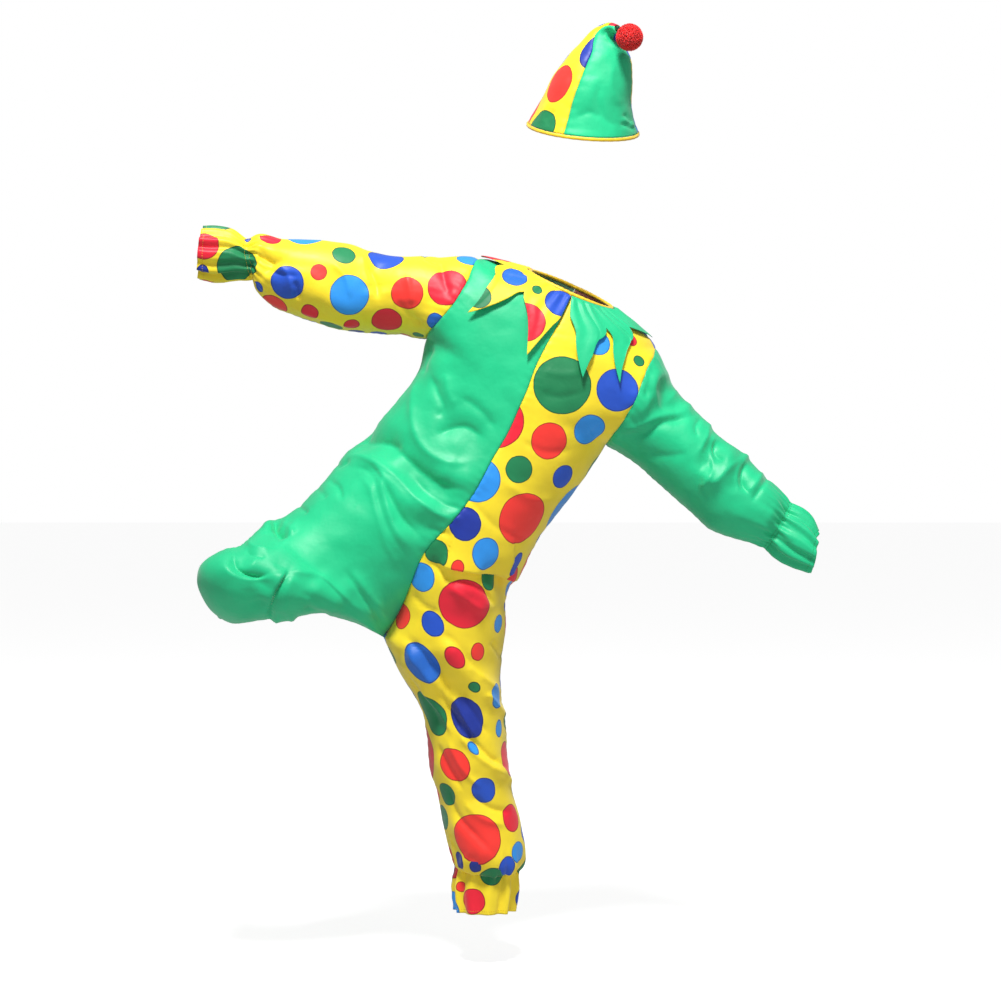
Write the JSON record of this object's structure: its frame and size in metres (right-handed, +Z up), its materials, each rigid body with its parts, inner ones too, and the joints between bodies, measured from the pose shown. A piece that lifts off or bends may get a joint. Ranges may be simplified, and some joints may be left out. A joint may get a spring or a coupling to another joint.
{
  "type": "worn child's clown costume with a cone hat",
  "caption": "Hollow one-piece jumpsuit in plain green and polka-dot cloth, worn in a kicking pose, with a pointed collar, gathered cuffs and a cone hat with a pompom.",
  "frame": {"origin": "centre of the neck opening, where the wearer's neck and shoulders hold the suit", "axes": "+X towards the wearer's left, -Y the wearer's front, +Z up"},
  "size_m": [0.8665, 0.2723, 1.2297],
  "materials": {
    "green": "satin polyester, soft sheen",
    "dotted": "satin polyester, yellow with printed dots in red, blue and green",
    "yellow": "narrow woven binding",
    "red": "fluffy yarn"
  },
  "bodies": {
    "root": {"front_right": "green", "back_right": "green", "front_left": "dotted", "back_left": "dotted", "sleeve_right": "dotted", "sleeve_left": "green", "collar_right": "dotted", "collar_left": "green", "neck_binding": "yellow", "hat_gore_1": "green", "hat_gore_2": "dotted", "hat_gore_3": "green", "hat_gore_4": "dotted", "hat_band": "yellow", "pompom": "red"}
  },
  "joints": []
}
